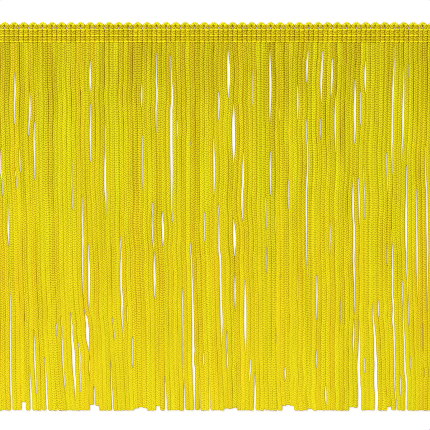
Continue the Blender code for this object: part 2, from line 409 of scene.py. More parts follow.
def pull_at(slit, depths):
    """Share of that pull at each depth: whole along the slit, and fading out above and below it."""
    above = ease(depths, slit.top * MM - PULL_FADE, slit.top * MM)
    below = 1 - ease(depths, slit.bottom * MM, slit.bottom * MM + PULL_FADE)
    return above * below


def open_width(slit, depths):
    """Opening in metres at each depth, from nothing at a slit's tips to its widest at the middle."""
    along = np.clip((depths / MM - slit.top) / (slit.bottom - slit.top), 0, 1)
    return slit.opening * MM * np.sin(math.pi * along)


def strand_places(depths):
    """Centres across of all strands, in metres: a row for each depth below the picot tips."""
    depths = np.atleast_1d(depths)
    root = np.array([column_centre(index) for index in range(COLUMNS)])
    share = np.maximum(depths - ROOT_DEPTH, 0.0) / FREE_LENGTH
    places = root + lean_at(root / MM, share[:, None]) * MM
    least = np.full((len(depths), COLUMNS - 1), MIN_SPACING)
    widest = np.full((len(depths), COLUMNS - 1), MAX_SPACING)
    pull = np.zeros_like(places)
    weights = np.zeros_like(places)
    for slit in SLITS + fine_slits():
        gap = gap_of(slit)
        opening = open_width(slit, depths)
        apart = np.arange(COLUMNS) - gap - 0.5
        push = np.sign(apart) * np.exp(-(np.abs(apart) - 0.5) / SLIT_REACH) / 2
        places += opening[:, None] * push
        least[:, gap] += opening
        widest[:, gap] += opening
        weight = pull_at(slit, depths)[:, None] * np.exp(-(np.abs(apart) - 0.5) / PULL_REACH)
        pull += weight * pull_of(slit, gap)
        weights += weight
    places += pull / np.maximum(weights, 1)
    widest += (PITCH - MAX_SPACING) * np.exp(-share[:, None] * FREE_LENGTH / GATHER_DEPTH)
    limit = abs(column_centre(0))
    for _ in range(RELAX_PASSES):
        spacing = np.diff(places, axis=1)
        move = APART_RATE * np.maximum(least - spacing, 0)
        move -= GATHER_RATE * np.maximum(spacing - widest, 0)
        places[:, :-1] -= move
        places[:, 1:] += move
        places = np.clip(places, -limit, limit)
    return places


def strand_ends():
    """Depth of each strand's cut end."""
    chance = np.random.default_rng(FINE_SEED + 1)
    ends = DROP - chance.uniform(0, 1, COLUMNS) * CUT_JITTER
    places = strand_places(DROP)[0] / MM
    for notch in NOTCHES:
        within = np.abs(places - notch.across) < notch.spread / 2
        ends[within] -= notch.missing * MM * chance.uniform(*NOTCH_SHARE, within.sum())
    ends[0] = ends[-1] = DROP
    return ends


# Tubes: every cord and yarn starts as one closed tube of unit radius, which is then led along its line

Tube = namedtuple("Tube", "mesh side ring rho rings sides")


def make_tube(sides, rings):
    """A closed tube of unit radius and length along Z, with a smaller ring in each end."""
    bm = bmesh.new()
    bmesh.ops.create_cone(bm, cap_ends=True, segments=sides, radius1=1, radius2=1, depth=1)
    long_edges = [edge for edge in bm.edges if edge.verts[0].co.z * edge.verts[1].co.z < 0]
    bmesh.ops.subdivide_edges(bm, edges=long_edges, cuts=rings - 1)
    caps = [face for face in bm.faces if len(face.verts) == sides]
    bmesh.ops.inset_individual(bm, faces=caps, thickness=CAP_INSET)
    mesh = bpy.data.meshes.new("tube_unit")
    bm.to_mesh(mesh)
    bm.free()
    co = np.empty(len(mesh.vertices) * 3)
    mesh.vertices.foreach_get("co", co)
    x, y, z = co.reshape(-1, 3).T
    side = np.round(np.arctan2(y, x) / (2 * math.pi / sides)).astype(int) % sides
    ring = np.round((z + 0.5) * rings).astype(int)
    return Tube(mesh, side, ring, np.hypot(x, y), rings, sides)


# What is worked out for each copy of a tube: its points and, for the yarn's look, its painted shade with its
# chance tone (from 0 to 1 towards the deep colour, and below 0 painted light), its brightness (with painted
# light on the picots), how far its yellow leans to orange (1) or to green (-1), its place on the cord while
# that was straight, and whether its wales alternate
Laid = namedtuple("Laid", "points hollow tint warm straight stagger")


def add_piece(name, tube, cords, material, node):
    """Joins a copy of the tube for each cord into one piece, and stands it for its CAD node."""
    bm = bmesh.new()
    for _ in cords:
        bm.from_mesh(tube.mesh)
    mesh = bpy.data.meshes.new(name)
    bm.to_mesh(mesh)
    bm.free()
    for field in Laid._fields:
        values = np.concatenate([getattr(cord, field) for cord in cords]).astype(np.float32)
        if field == "points":
            mesh.vertices.foreach_set("co", values.ravel())
        elif values.ndim == 2:
            mesh.attributes.new(field, "FLOAT_VECTOR", "POINT").data.foreach_set("vector", values.ravel())
        else:
            mesh.attributes.new(field, "FLOAT", "POINT").data.foreach_set("value", values)
    mesh.update()
    mesh.shade_smooth()
    mesh.materials.append(material)
    piece = bpy.data.objects.new(name, mesh)
    bpy.context.scene.collection.objects.link(piece)
    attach(piece, BODY)
    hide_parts(node)
    return piece


def tube_angle(tube):
    return tube.side * (2 * math.pi / tube.sides)


def knit_form(tube, stagger, rings_per_stitch=RINGS_PER_STITCH):
    """How far each point of a knitted tube stands out, from -1 to 1, and its shift along it in rings."""
    wale = tube.side // 2
    middle = tube.side % 2 == 0
    odd = wale % 2
    beat = (tube.ring + 1) / rings_per_stitch + 0.5 * stagger * odd
    lift = np.where(middle, np.cos(2 * math.pi * beat), FURROW)
    shift = np.where(middle, 0.0, (odd - 0.5) * SLANT) * rings_per_stitch
    return lift, shift


def place_in_rings(tube, shift):
    """Place of each point along its cord, in rings: shifted as the stitches slant, but not at its ends."""
    inside = (tube.ring > 0) & (tube.ring < tube.rings)
    return tube.ring + shift * inside


def straight_place(tube, radius, step, shift, number):
    """Place of each point on its cord while that was straight, in millimetres: what the yarn's patterns read.

    step is the distance between two rings, and shift is in rings. Each cord has its own stretch of the
    pattern.
    """
    angle = tube_angle(tube)
    along = (tube.ring + shift + PATTERN_RINGS * number) * step
    return np.column_stack([radius * np.cos(angle), along, radius * np.sin(angle)]) / MM


# A cord's flanks keep this share of the stitches' relief, and its underside is in shade
SIDE_RELIEF = 0.4
UNDERSIDE = (0.0, 0.6)


def relief_at(sizes, sin):
    return sizes.relief * (SIDE_RELIEF + (1 - SIDE_RELIEF) * np.clip(sin, 0, 1))


def shade_below(sin):
    return ease(-sin, *UNDERSIDE)


def add_node(tree, kind, settings=None, inputs=None):
    """Adds one node with its settings. An input that is given as a socket is linked, any other is set."""
    node = tree.nodes.new(kind)
    for name, value in (settings or {}).items():
        setattr(node, name, value)
    for name, value in (inputs or {}).items():
        if isinstance(value, bpy.types.NodeSocket):
            tree.links.new(value, node.inputs[name])
        else:
            node.inputs[name].default_value = value
    return node


# A stitch of the knit, seen as a grain that is longer than wide. Its shape across and along, where its
# rounded end and the furrow beside it begin and are full, how dark the painted shade in the furrow is beside
# a joint, and how far the filaments slant across it. Between the grains the colour is painted shade.
GRAIN_SHAPE = (0.55, 1.0, 1.0)
GRAIN_END = (0.26, 0.52)
FURROW_EDGE = (0.36, 0.5)
FURROW_SHADE = 0.6
FILAMENT_SLANT = 0.4


def knit_pattern(tree, stitch):
    """Finds where a point lies in its stitch.

    Gives a socket that is 0 on the stitch and 1 between stitches, and one for the filaments: the place across
    them in wales, along them in stitches, and the number of the wale.
    """
    straight = add_node(tree, "ShaderNodeAttribute", {"attribute_name": "straight"}).outputs["Vector"]
    stagger = add_node(tree, "ShaderNodeAttribute", {"attribute_name": "stagger"}).outputs["Fac"]
    place = add_node(tree, "ShaderNodeSeparateXYZ", inputs={0: straight}).outputs
    angle = add_node(
        tree, "ShaderNodeMath", {"operation": "ARCTAN2"}, {0: place["Z"], 1: place["X"]}
    ).outputs[0]
    around = add_node(
        tree, "ShaderNodeMath", {"operation": "MULTIPLY"}, {0: angle, 1: WALES / 2 / math.pi}
    ).outputs[0]
    wale = add_node(tree, "ShaderNodeMath", {"operation": "ROUND"}, {0: around}).outputs[0]
    odd = add_node(tree, "ShaderNodeMath", {"operation": "FLOORED_MODULO"}, {0: wale, 1: 2.0}).outputs[0]
    across = add_node(tree, "ShaderNodeMath", {"operation": "SUBTRACT"}, {0: around, 1: wale}).outputs[0]
    side = add_node(
        tree, "ShaderNodeMath", {"operation": "MULTIPLY_ADD"}, {0: odd, 1: -2.0, 2: 1.0}
    ).outputs[0]
    leaning = add_node(tree, "ShaderNodeMath", {"operation": "MULTIPLY"}, {0: across, 1: side}).outputs[0]
    waits = add_node(tree, "ShaderNodeMath", {"operation": "MULTIPLY"}, {0: odd, 1: stagger}).outputs[0]
    along = add_node(
        tree, "ShaderNodeMath", {"operation": "MULTIPLY"}, {0: place["Y"], 1: MM / stitch}
    ).outputs[0]
    waited = add_node(
        tree, "ShaderNodeMath", {"operation": "MULTIPLY_ADD"}, {0: waits, 1: 0.5, 2: along}
    ).outputs[0]
    beat = add_node(
        tree, "ShaderNodeMath", {"operation": "MULTIPLY_ADD"}, {0: leaning, 1: SLANT, 2: waited}
    ).outputs[0]
    part = add_node(tree, "ShaderNodeMath", {"operation": "FRACT"}, {0: beat}).outputs[0]
    from_middle = add_node(tree, "ShaderNodeMath", {"operation": "SUBTRACT"}, {0: part, 1: 0.5}).outputs[0]
    spot = add_node(tree, "ShaderNodeCombineXYZ", inputs={0: across, 1: from_middle}).outputs[0]
    shape = add_node(tree, "ShaderNodeMapping", inputs={0: spot, "Scale": GRAIN_SHAPE}).outputs[0]
    distance = add_node(tree, "ShaderNodeVectorMath", {"operation": "LENGTH"}, {0: shape}).outputs["Value"]
    ends = add_node(
        tree,
        "ShaderNodeMapRange",
        {"interpolation_type": "SMOOTHSTEP"},
        {"Value": distance, "From Min": GRAIN_END[0], "From Max": GRAIN_END[1]},
    ).outputs[0]
    off_middle = add_node(tree, "ShaderNodeMath", {"operation": "ABSOLUTE"}, {0: across}).outputs[0]
    furrow = add_node(
        tree,
        "ShaderNodeMapRange",
        {"interpolation_type": "SMOOTHSTEP"},
        {"Value": off_middle, "From Min": FURROW_EDGE[0], "From Max": FURROW_EDGE[1], "To Max": FURROW_SHADE},
    ).outputs[0]
    between = add_node(tree, "ShaderNodeMath", {"operation": "MAXIMUM"}, {0: ends, 1: furrow}).outputs[0]
    turned = add_node(tree, "ShaderNodeMath", {"operation": "MULTIPLY"}, {0: from_middle, 1: side}).outputs[0]
    filament = add_node(
        tree, "ShaderNodeMath", {"operation": "MULTIPLY_ADD"}, {0: turned, 1: FILAMENT_SLANT, 2: across}
    ).outputs[0]
    lines = add_node(tree, "ShaderNodeCombineXYZ", inputs={0: filament, 1: along, 2: wale}).outputs[0]
    return between, lines


# Viscose rayon, spun in smooth filaments: a satin surface that shines softly and shows no single
# highlight. Its brightness differs a little between filaments. Real filaments are 0.02 mm thick, too fine
# to show in the render, so the patterns draw them about five times as coarse.
RAYON_ROUGHNESS = 0.48
RAYON_IOR = 1.47
RAYON_SPECULAR = 0.15
FILAMENT_RANGE = (0.3, 0.7)
FILAMENT_TONE = (0.9, 1.1)
FILAMENT_DETAIL = 2.0
BUMP_STRENGTH = 0.6
WARM_HUE = 0.013

# How a yarn uses its patterns: stretch of the filaments' noise, how dark the painted shade between stitches
# or plies is, and the height of its bumps
Yarn = namedtuple("Yarn", "stretch between bump")
KNIT_YARN = Yarn((9.0, 1.5, 5.0), 0.78, 0.1 * MM)
CHAIN_YARN = Yarn((6.0, 1.0, 1.0), 0.5, 0.06 * MM)
PLY_TURNS = 2.4


def finish_rayon(material, tree, between, lines, sizes, yarn):
    """Colours and bumps of rayon yarn from its pattern: bright on the stitch, painted amber shade between
    stitches.
    """
    shader = tree.nodes["Principled BSDF"]
    shader.inputs["Roughness"].default_value = RAYON_ROUGHNESS
    shader.inputs["IOR"].default_value = RAYON_IOR
    shader.inputs["Specular IOR Level"].default_value = RAYON_SPECULAR
    hollow = add_node(tree, "ShaderNodeAttribute", {"attribute_name": "hollow"}).outputs["Fac"]
    tint = add_node(tree, "ShaderNodeAttribute", {"attribute_name": "tint"}).outputs["Fac"]
    warm = add_node(tree, "ShaderNodeAttribute", {"attribute_name": "warm"}).outputs["Fac"]
    stretched = add_node(tree, "ShaderNodeMapping", inputs={0: lines, "Scale": yarn.stretch}).outputs[0]
    filaments = add_node(
        tree,
        "ShaderNodeTexNoise",
        inputs={"Vector": stretched, "Scale": 1.0, "Detail": FILAMENT_DETAIL},
    ).outputs[0]
    # Painted shade: the colour turns to the deep colour between stitches or plies, and as far as each point's
    # painted shade and chance tone reach
    deep = add_node(
        tree,
        "ShaderNodeMath",
        {"operation": "MULTIPLY_ADD", "use_clamp": True},
        {0: between, 1: yarn.between, 2: hollow},
    ).outputs[0]
    colour = add_node(
        tree,
        "ShaderNodeMix",
        {"data_type": "RGBA"},
        {0: deep, 6: (*sizes.bright, 1.0), 7: (*sizes.deep, 1.0)},
    ).outputs[2]
    uneven = add_node(
        tree,
        "ShaderNodeMapRange",
        inputs={
            "Value": filaments,
            "From Min": FILAMENT_RANGE[0],
            "From Max": FILAMENT_RANGE[1],
            "To Min": FILAMENT_TONE[0],
            "To Max": FILAMENT_TONE[1],
        },
    ).outputs[0]
    value = add_node(tree, "ShaderNodeMath", {"operation": "MULTIPLY"}, {0: uneven, 1: tint}).outputs[0]
    hue = add_node(
        tree, "ShaderNodeMath", {"operation": "MULTIPLY_ADD"}, {0: warm, 1: -WARM_HUE, 2: 0.5}
    ).outputs[0]
    tinted = add_node(
        tree, "ShaderNodeHueSaturation", inputs={"Hue": hue, "Color": colour, "Value": value}
    ).outputs[0]
    tree.links.new(tinted, shader.inputs["Base Color"])
    height = add_node(
        tree, "ShaderNodeMath", {"operation": "MULTIPLY_ADD"}, {0: between, 1: -1.0, 2: filaments}
    ).outputs[0]
    bump = add_node(
        tree, "ShaderNodeBump", inputs={"Strength": BUMP_STRENGTH, "Distance": yarn.bump, "Height": height}
    ).outputs[0]
    tree.links.new(bump, shader.inputs["Normal"])
    return material


def knitted_rayon(sizes):
    """Viscose rayon chainette: satin stitches like grains of wheat, fine filaments, painted amber shade
    between stitches.
    """
    material = bpy.data.materials.get("rayon_chainette")
    if material:
        return material
    material = bpy.data.materials.new("rayon_chainette")
    material.use_nodes = True
    tree = material.node_tree
    between, lines = knit_pattern(tree, sizes.stitch)
    return finish_rayon(material, tree, between, lines, sizes, KNIT_YARN)


def chain_rayon(sizes):
    """Plied rayon sewing yarn: round, brighter than the knit, with painted shade in slanting furrows between
    its two plies.
    """
    material = bpy.data.materials.new("rayon_chain_yarn")
    material.use_nodes = True
    tree = material.node_tree
    straight = add_node(tree, "ShaderNodeAttribute", {"attribute_name": "straight"}).outputs["Vector"]
    place = add_node(tree, "ShaderNodeSeparateXYZ", inputs={0: straight}).outputs
    angle = add_node(
        tree, "ShaderNodeMath", {"operation": "ARCTAN2"}, {0: place["Z"], 1: place["X"]}
    ).outputs[0]
    turn = add_node(tree, "ShaderNodeMath", {"operation": "DIVIDE"}, {0: angle, 1: math.pi}).outputs[0]
    helix = add_node(
        tree, "ShaderNodeMath", {"operation": "MULTIPLY_ADD"}, {0: place["Y"], 1: PLY_TURNS, 2: turn}
    ).outputs[0]
    between = add_node(tree, "ShaderNodeMath", {"operation": "PINGPONG"}, {0: helix, 1: 0.5}).outputs[0]
    lines = add_node(tree, "ShaderNodeCombineXYZ", inputs={0: helix, 1: place["Y"]}).outputs[0]
    return finish_rayon(material, tree, between, lines, sizes, CHAIN_YARN)


# Where a strand meets its neighbour: the half spacing up to which the two touch, how far they press into
# each other where they lie loosely and where they nestle, and how fast a strand regains its own width
# beside a slit
TOUCH_LIMIT = 0.95 * MM
OVERLAP = (0.07 * MM, 0.2 * MM)
PARTING_RATE = 2
OPEN_SPACING = PITCH + 1 * MM

# How closely two strands nestle, from 0 to 1: on average, by chance along them, and more towards their
# ends
NESTLE = 0.5
NESTLE_CHANCE = 0.7
NESTLE_LOOSE = 0.3
NESTLE_KNOTS = 6

# Painted shade in the groove between two strands: how dark it is, how far it fades lower down and which part
# of a strand's flank it covers; and how much lighter painted light makes the flank along a slit
GROOVE_SHADE = 0.5
GROOVE_FADE = 0.8
GROOVE_DEPTHS = (10 * MM, 80 * MM)
GROOVE_SIDE = (0.8, 1.0)
SLIT_EDGE_LIGHT = 0.6

# Section of a strand: how square it is at the heading and at the ends (0 is round), and its twist in
# radians
FLATNESS = (-0.35, -0.6)
FLAT_LIMIT = 0.05
TWIST = 0.35
TWIST_KNOTS = 7

# Under the last chain row a strand is pinched flat, and its root is tucked in under the heading
PINCH = 0.35
PINCH_DEPTHS = (ROW_DEPTHS[2] - 0.3 * MM, ROW_DEPTHS[2] + 0.7 * MM)
TUCK = 0.3
TUCK_DEPTHS = (ROW_DEPTHS[2] - 0.9 * MM, ROW_DEPTHS[2])

# At its cut end a strand flares a little, and its rim is rounded over the last two rings
FLARE = 0.07
FLARE_REACH = 2.5 * MM
END_DOME = 0.3 * MM
END_ROUND = (0.2, 0.04)

# Painted shade darkens the strands where they lie snug under the heading, painted light makes them lighter
# where they lie loosely, and their yellow is warmer lower down
SNUG_SHADE = 0.16
SNUG_DEPTHS = (12 * MM, 45 * MM)
LOOSE_LIGHT = 0.3
LOOSE_DEPTHS = (45 * MM, 165 * MM)
WARM_TOP = 0.2
WARM_DEPTHS = (55 * MM, 105 * MM)

# How strands differ by chance: from one to the next, slowly along each, and the number of values along it
Drift = namedtuple("Drift", "whole slow knots")
THICK_DRIFT = Drift(0.05, 0.05, 9)
TONE_DRIFT = Drift(0.11, 0.1, 9)
TINT_DRIFT = Drift(0.04, 0.04, 12)
WARM_DRIFT = Drift(0.5, 0.5, 9)

# One side of a strand: its half width and, at each ring, its painted flank shading: shade in the groove to
# its neighbour, light along a slit
Side = namedtuple("Side", "half groove")


def drift(chance, tube, size):
    """Chance difference at each point of a strand."""
    whole = size.whole * chance.uniform(-1, 1)
    return whole + size.slow * slow_noise(chance, tube.rings + 1, size.knots)[tube.ring]


def strand_side(spacing, free, looser, chance):
    """A side where a strand meets its neighbour: wider and with fainter painted shade where the two nestle.

    Where a slit parts them, the strand has its own width, and painted light brightens that flank.
    """
    by_chance = NESTLE_CHANCE * slow_noise(chance, len(spacing), NESTLE_KNOTS)
    nestle = np.clip(NESTLE + by_chance + NESTLE_LOOSE * looser, 0, 1)
    touching = spacing / 2 < TOUCH_LIMIT
    parted = np.maximum(free, TOUCH_LIMIT - PARTING_RATE * (spacing / 2 - TOUCH_LIMIT))
    half = np.where(touching, spacing / 2 + OVERLAP[0] + (OVERLAP[1] - OVERLAP[0]) * nestle, parted)
    return Side(half, np.where(touching, GROOVE_SHADE * (1 - nestle), -SLIT_EDGE_LIGHT))


def lay_strand(sizes, tube, start, end, places, left, right, chance, number):
    """One hanging strand, from under the last chain row to its cut end."""
    ring = tube.ring
    free = sizes.strand_width / 2
    stagger = int(chance.uniform() < STAGGERED_SHARE)
    lift, shift = knit_form(tube, stagger)
    angle = tube_angle(tube) + TWIST * slow_noise(chance, tube.rings + 1, TWIST_KNOTS)[ring]
    cos = np.cos(angle)
    sin = np.sin(angle)
    depth = start + place_in_rings(tube, shift) * (end - start) / tube.rings
    looser = ease(depth, *LOOSE_DEPTHS)
    thick = sizes.strand_thick * (1 + drift(chance, tube, THICK_DRIFT))
    thick *= 1 - PINCH * (1 - ease(depth, *PINCH_DEPTHS))
    half = np.where(cos > 0, right.half[ring], left.half[ring])
    half *= 1 + FLARE * ease(depth, end - FLARE_REACH, end)
    half *= 1 - TUCK * (1 - ease(depth, *TUCK_DEPTHS))
    slim = 1 - END_ROUND[0] * (ring == tube.rings) - END_ROUND[1] * (ring == tube.rings - 1)
    relief = relief_at(sizes, sin) * lift
    square = np.maximum(np.abs(sin), FLAT_LIMIT) ** (FLATNESS[0] + (FLATNESS[1] - FLATNESS[0]) * looser)
    x = places[ring] + (tube.rho * half * slim + relief) * cos
    z = thick / 2 + (tube.rho * thick / 2 * slim + relief) * sin * square
    dome = END_DOME * (1 - tube.rho) * (ring == tube.rings)
    points = np.column_stack([x, PICOT_TIP - depth - dome, np.maximum(z, FLOOR_GAP)])
    # Painted shade in the groove to each neighbour, and painted light along a slit
    groove = ease(np.abs(cos), *GROOVE_SIDE) * np.where(cos > 0, right.groove[ring], left.groove[ring])
    groove *= 1 - GROOVE_FADE * ease(depth, *GROOVE_DEPTHS)
    # Chance tone, with painted shade near the heading and painted light lower down
    drift_and_depth_shading = drift(chance, tube, TONE_DRIFT) + SNUG_SHADE * (1 - ease(depth, *SNUG_DEPTHS)) - LOOSE_LIGHT * looser
    hollow = groove + shade_below(sin) + drift_and_depth_shading
    tint = 1 + drift(chance, tube, TINT_DRIFT)
    warm = WARM_TOP + (1 - WARM_TOP) * ease(depth, *WARM_DEPTHS) + drift(chance, tube, WARM_DRIFT)
    straight = straight_place(tube, free, sizes.stitch / RINGS_PER_STITCH, shift, number)
    return Laid(points, hollow, tint, warm, straight, np.full(len(x), stagger))


class TRIM_OT_fringe(bpy.types.Operator):
    """Makes the hanging strands, in four pieces from left to right"""

    bl_idname = "trim.fringe"
    bl_label = "Fringe"

    def execute(self, context):
        sizes = context.scene.fringe_sizes
        start = ROW_DEPTHS[2]
        rings = round((DROP - start) / sizes.stitch * RINGS_PER_STITCH)
        tube = make_tube(TUBE_SIDES, rings)
        depths = np.linspace(start, DROP, rings + 1)
        places = strand_places(depths)
        ends = strand_ends()
        edge = np.full((rings + 1, 1), OPEN_SPACING)
        spacing = np.hstack([edge, np.diff(places, axis=1), edge])
        looser = ease(depths, *LOOSE_DEPTHS)
        chance = np.random.default_rng(sizes.seed)
        sides = [strand_side(column, sizes.strand_width / 2, looser, chance) for column in spacing.T]
        material = knitted_rayon(sizes)
        count = COLUMNS // len(STRAND_GROUPS)
        for group, name in enumerate(STRAND_GROUPS):
            cords = []
            for index in range(group * count, (group + 1) * count):
                first = start - chance.uniform() * sizes.stitch
                cords.append(
                    lay_strand(
                        sizes,
                        tube,
                        first,
                        ends[index],
                        places[:, index],
                        sides[index],
                        sides[index + 1],
                        chance,
                        index,
                    )
                )
            add_piece(name, tube, cords, material, "fringe")
        bpy.data.meshes.remove(tube.mesh)
        return {"FINISHED"}


# Cords in the heading, in millimetres: depth below the picot tips, half width and thickness. They are
# parted between the picots and the first chain row, and thinner under each row.
Press = namedtuple("Press", "depth half thick")
PRESSES = [
    Press(1.15, 1.02, 0.6),
    Press(1.5, 1.02, 0.7),
    Press(1.9, 0.98, 0.95),
    Press(2.15, 0.76, 1.0),
    Press(2.5, 0.74, 1.0),
    Press(2.8, 0.96, 1.0),
    Press(3.15, 1.03, 1.0),
    Press(3.8, 1.03, 1.14),
    Press(4.5, 1.03, 1.18),
    Press(5.35, 1.03, 1.12),
    Press(6.0, 1.03, 1.26),
    Press(6.8, 1.03, 1.26),
    Press(7.6, 1.03, 1.1),
    Press(8.0, 1.03, 0.8),
]
HEADING_TAIL = 0.25 * MM
HEADING_TWIST = 0.3

# Look of the heading's cords: how deep in tone they are, how dark the painted shade is in the grooves between
# them and in the pits between the picots' legs, and how far brightness and warmth differ from cord to cord
HEADING_HOLLOW = 0.1
HEADING_GROOVE_SHADE = 0.5
HEADING_GROOVE_SIDE = (0.75, 1.0)
PIT_SHADE = 0.12
PIT_DEPTHS = (1.6 * MM, 1.9 * MM)
HEADING_TINT_CHANCE = 0.07
HEADING_WARM = 0.7
HEADING_WARM_CHANCE = 0.3


def press_at(depths, field):
    """Half width or thickness of the pressed cords, in metres, at each depth."""
    values = [getattr(row, field) for row in PRESSES]
    return np.interp(depths / MM, [row.depth for row in PRESSES], values) * MM


def lay_heading_cord(sizes, tube, start, stop, chance, number):
    """One cord of the heading: pressed flat between its neighbours, and thinner under each chain row."""
    stagger = int(chance.uniform() < STAGGERED_SHARE)
    lift, shift = knit_form(tube, stagger)
    depth = start + place_in_rings(tube, shift) * (stop - start) / tube.rings
    half = press_at(depth, "half")
    thick = press_at(depth, "thick")
    angle = tube_angle(tube) + HEADING_TWIST * chance.uniform(-1, 1)
    cos = np.cos(angle)
    sin = np.sin(angle)
    relief = relief_at(sizes, sin) * lift
    x = column_centre(number) + (tube.rho * half + relief) * cos
    z = thick / 2 + (tube.rho * thick / 2 + relief) * sin
    points = np.column_stack([x, PICOT_TIP - depth, np.maximum(z, FLOOR_GAP)])
    # Painted shade in the grooves between the cords and in the pits between the picots' legs
    groove = HEADING_GROOVE_SHADE * ease(np.abs(cos), *HEADING_GROOVE_SIDE)
    pit_shade = PIT_SHADE * (1 - ease(depth, *PIT_DEPTHS))
    hollow = np.clip(HEADING_HOLLOW + groove + shade_below(sin) + pit_shade, 0, 1)
    tint = np.full(len(x), 1.0 + HEADING_TINT_CHANCE * chance.uniform(-1, 1))
    warm = np.full(len(x), HEADING_WARM + HEADING_WARM_CHANCE * chance.uniform(-1, 1))
    straight = straight_place(tube, PITCH / 2, sizes.stitch / RINGS_PER_STITCH, shift, number)
    return Laid(points, hollow, tint, warm, straight, np.full(len(x), stagger))


class TRIM_OT_heading(bpy.types.Operator):
    """Makes the cords that lie pressed side by side in the heading"""

    bl_idname = "trim.heading"
    bl_label = "Heading"

    def execute(self, context):
        sizes = context.scene.fringe_sizes
        start = PRESSES[0].depth * MM
        stop = ROW_DEPTHS[2] + HEADING_TAIL
        tube = make_tube(TUBE_SIDES, round((stop - start) / sizes.stitch * RINGS_PER_STITCH))
        chance = np.random.default_rng(sizes.seed + 1)
        cords = [lay_heading_cord(sizes, tube, start, stop, chance, index) for index in range(COLUMNS)]
        add_piece("heading_cords", tube, cords, knitted_rayon(sizes), "heading")
        bpy.data.meshes.remove(tube.mesh)
        return {"FINISHED"}


# Picot arches: straight legs below the round, how much tighter the round is than half the pitch, and the
# height of the cord
ARCH_LEG = 0.55 * MM
ARCH_INSET = 0.06 * MM
ARCH_THICK = 1.15 * MM
ARCH_RINGS = 16
ARCH_RINGS_PER_STITCH = 4

# Depths over which an arch widens to meet the next one, its legs widen to meet each other, it dives under
# the heading's cords and its colour turns to theirs
SHOULDER_DEPTHS = (0.85 * MM, 1.4 * MM)
CROTCH_DEPTHS = (1.5 * MM, 1.8 * MM)
DIVE_DEPTHS = (1.5 * MM, 1.95 * MM)
SINK_DEPTHS = (0.8 * MM, 1.7 * MM)
ARCH_DIVE = 0.35
JOIN = 0.03 * MM

# Look of the picots, which catch the light: painted light makes them brighter than the heading, they are of a
# colder yellow, and painted shade darkens them inside the arch and at its outer rim
PICOT_LIGHT = 1.24
PICOT_TINT_CHANCE = 0.06
PICOT_WARM = -0.7
INNER_SHADE = 0.5
INNER_SIDE = (0.35, 0.95)
OUTER_SHADE = 0.3
OUTER_SIDE = (0.8, 1.0)


def lay_picot(sizes, tube, chance, number):
    """One arch of cord: up one column, round and down the next. Its legs widen until they meet."""
    half = sizes.picot_width / 2
    radius = PITCH / 2 - ARCH_INSET
    path_length = 2 * ARCH_LEG + math.pi * radius
    middle = (column_centre(2 * number) + column_centre(2 * number + 1)) / 2
    lift, shift = knit_form(tube, 1, ARCH_RINGS_PER_STITCH)
    along = place_in_rings(tube, shift) * path_length / tube.rings
    turned = np.clip((along - ARCH_LEG) / radius, 0, math.pi)
    below = np.maximum(np.maximum(ARCH_LEG - along, along - path_length + ARCH_LEG), 0)
    angle = tube_angle(tube)
    outward = np.cos(angle)
    sin = np.sin(angle)
    line_depth = half + radius + below - np.sin(turned) * radius
    outer = half + (PITCH + JOIN - radius - half) * ease(line_depth, *SHOULDER_DEPTHS)
    inner = half + (radius + JOIN - half) * ease(line_depth, *CROTCH_DEPTHS)
    relief = relief_at(sizes, sin) * lift
    reach = (tube.rho * np.where(outward > 0, outer, inner) + relief) * outward
    x = middle - np.cos(turned) * (radius + reach)
    depth = line_depth - np.sin(turned) * reach
    thick = ARCH_THICK * (1 - ARCH_DIVE * ease(line_depth, *DIVE_DEPTHS))
    z = thick / 2 + (tube.rho * thick / 2 + relief) * sin
    points = np.column_stack([x, PICOT_TIP - depth, np.maximum(z, FLOOR_GAP)])
    # Painted shade inside the arch and at its outer rim
    rim_shade = INNER_SHADE * ease(-outward, *INNER_SIDE) + OUTER_SHADE * ease(outward, *OUTER_SIDE)
    hollow = np.clip(rim_shade + shade_below(sin), 0, 1)
    sunk = ease(line_depth, *SINK_DEPTHS)
    # Painted light on the picots, fading where they sink under the heading
    tint = PICOT_LIGHT + PICOT_TINT_CHANCE * chance.uniform(-1, 1) - (PICOT_LIGHT - 1) * sunk
    warm = PICOT_WARM + (HEADING_WARM - PICOT_WARM) * sunk
    straight = straight_place(tube, half, sizes.stitch / ARCH_RINGS_PER_STITCH, shift, number)
    return Laid(points, hollow, tint, warm, straight, np.ones(len(x)))


class TRIM_OT_picots(bpy.types.Operator):
    """Makes the small arches in which the cord turns over at the top edge"""

    bl_idname = "trim.picots"
    bl_label = "Picots"

    def execute(self, context):
        sizes = context.scene.fringe_sizes
        tube = make_tube(TUBE_SIDES, ARCH_RINGS)
        chance = np.random.default_rng(sizes.seed + 2)
        cords = [lay_picot(sizes, tube, chance, arch) for arch in range(COLUMNS // 2)]
        add_piece("picot_arches", tube, cords, knitted_rayon(sizes), "picot_edge")
        bpy.data.meshes.remove(tube.mesh)
        return {"FINISHED"}


# Chain stitches: a loop of yarn for each column. Its length and start are in pitches, and its width grows
# from the start to the far end. It stands on the pressed cords, arches up and ends higher, over the next
# loop's start.
LINK_SIDES = 6
LINK_RINGS = 12
LINK_LENGTH = 1.12
LINK_START = -0.52
LINK_SPREAD = (0.8, 1.15)
LINK_FOOT = 0.96 * MM
LINK_ARCH = 0.15 * MM
LINK_LIFT = 0.07 * MM
LINK_WOBBLE = (0.05 * MM, 0.025 * MM)

# Look of the chain stitches: painted shade darkens them where they enter and leave the heading, and
# underneath, and they are bright on top
LINK_ENDS_SHADE = 0.9
LINK_ENDS_FADE = 2.0
LINK_UNDER_SHADE = 0.8
LINK_UNDERSIDE = (0.0, 0.8)
CHAIN_TINT = 1.34
CHAIN_TINT_CHANCE = 0.15
CHAIN_WARM = 0.3


